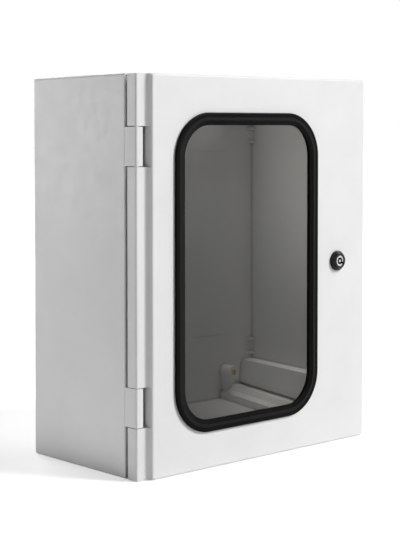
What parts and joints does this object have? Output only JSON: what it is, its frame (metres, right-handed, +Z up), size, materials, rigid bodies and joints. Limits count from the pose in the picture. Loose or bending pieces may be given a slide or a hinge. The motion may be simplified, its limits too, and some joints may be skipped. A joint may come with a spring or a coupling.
{
  "type": "polyester enclosure",
  "caption": "Wall-mounted moulded polyester enclosure with a hinged, glazed door, a quarter-turn lock and brass inserts for a mounting plate.",
  "frame": {"origin": "centre of the overall box in plan, level with the lower edge of the body", "axes": "+X to the right seen from the front, the door faces -Y and the wall is on the +Y side, +Z up along the longest side"},
  "size_m": [0.41, 0.227, 0.5],
  "materials": {
    "polyester": "light grey moulded glass-fibre polyester, faint satin sheen",
    "brass": "turned brass",
    "plated_steel": "zinc-plated",
    "seal_foam": "foamed seal, closed skin",
    "black_rubber": "extruded rubber, dull black",
    "lock_black": "black, satin",
    "pane_glass": "clear pane with a faint grey-green tint"
  },
  "bodies": {
    "body": {"body_shell": "polyester", "plate_inserts": "brass", "wall_inserts": "brass", "upper_hinge_block": "polyester", "lower_hinge_block": "polyester", "hinge_screws": "plated_steel"},
    "door": {"door_panel": "polyester", "door_seal": "seal_foam", "window_pane": "pane_glass", "window_gasket": "black_rubber", "gasket_locking_strip": "black_rubber", "upper_hinge_pin": "plated_steel", "lower_hinge_pin": "plated_steel", "lock_housing": "lock_black", "lock_seal": "black_rubber", "lock_nut": "plated_steel"},
    "lock": {"lock_insert": "plated_steel", "insert_seal_ring": "black_rubber", "lock_cam": "plated_steel", "cam_washer": "plated_steel", "cam_screw": "plated_steel"}
  },
  "joints": [
    {"name": "door_hinge", "type": "hinge", "parent": "body", "child": "door", "pos_m": [-0.1995, -0.0928, 0.25], "axis": [0, 0, -1], "range_deg": [0, 180]},
    {"name": "lock_turn", "type": "hinge", "parent": "door", "child": "lock", "pos_m": [0.1485, -0.0714, 0.25], "axis": [0, 1, 0], "range_deg": [0, 90]}
  ]
}
